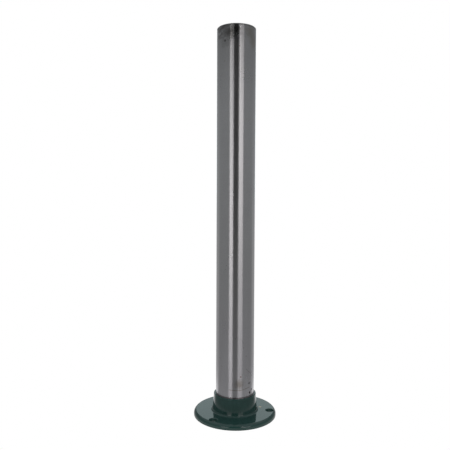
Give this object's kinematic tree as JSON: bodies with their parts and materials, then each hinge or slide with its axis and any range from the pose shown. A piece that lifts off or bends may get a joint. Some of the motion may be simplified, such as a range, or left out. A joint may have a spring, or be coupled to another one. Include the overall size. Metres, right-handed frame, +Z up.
{
  "type": "machine column with flanged foot",
  "caption": "Ground steel tube column standing in the socket of a painted cast foot with a round bolt-down flange; set screws hold the column, which lifts out.",
  "frame": {"origin": "centre of the foot's underside", "axes": "+Z up along the column's axis, +X through one of the bolt holes"},
  "size_m": [0.1, 0.1, 0.464],
  "materials": {
    "ground_steel": "ground round the axis, oily",
    "green_enamel": "glossy dark green enamel on a casting",
    "black_steel": "black oxide, satin"
  },
  "bodies": {
    "foot": {"column_foot": "green_enamel"},
    "column": {"column_tube": "ground_steel"},
    "screw_right": {"set_screw_right": "black_steel"},
    "screw_rear": {"set_screw_rear": "black_steel"}
  },
  "joints": [
    {"name": "column_lift", "type": "slide", "parent": "foot", "child": "column", "axis": [0, 0, 1], "range_m": [0, 0.03]},
    {"name": "screw_right_out", "type": "slide", "parent": "foot", "child": "screw_right", "axis": [0.866, 0.5, 0], "range_m": [0, 0.002]},
    {"name": "screw_rear_out", "type": "slide", "parent": "foot", "child": "screw_rear", "axis": [0, 1, 0], "range_m": [0, 0.002]}
  ]
}
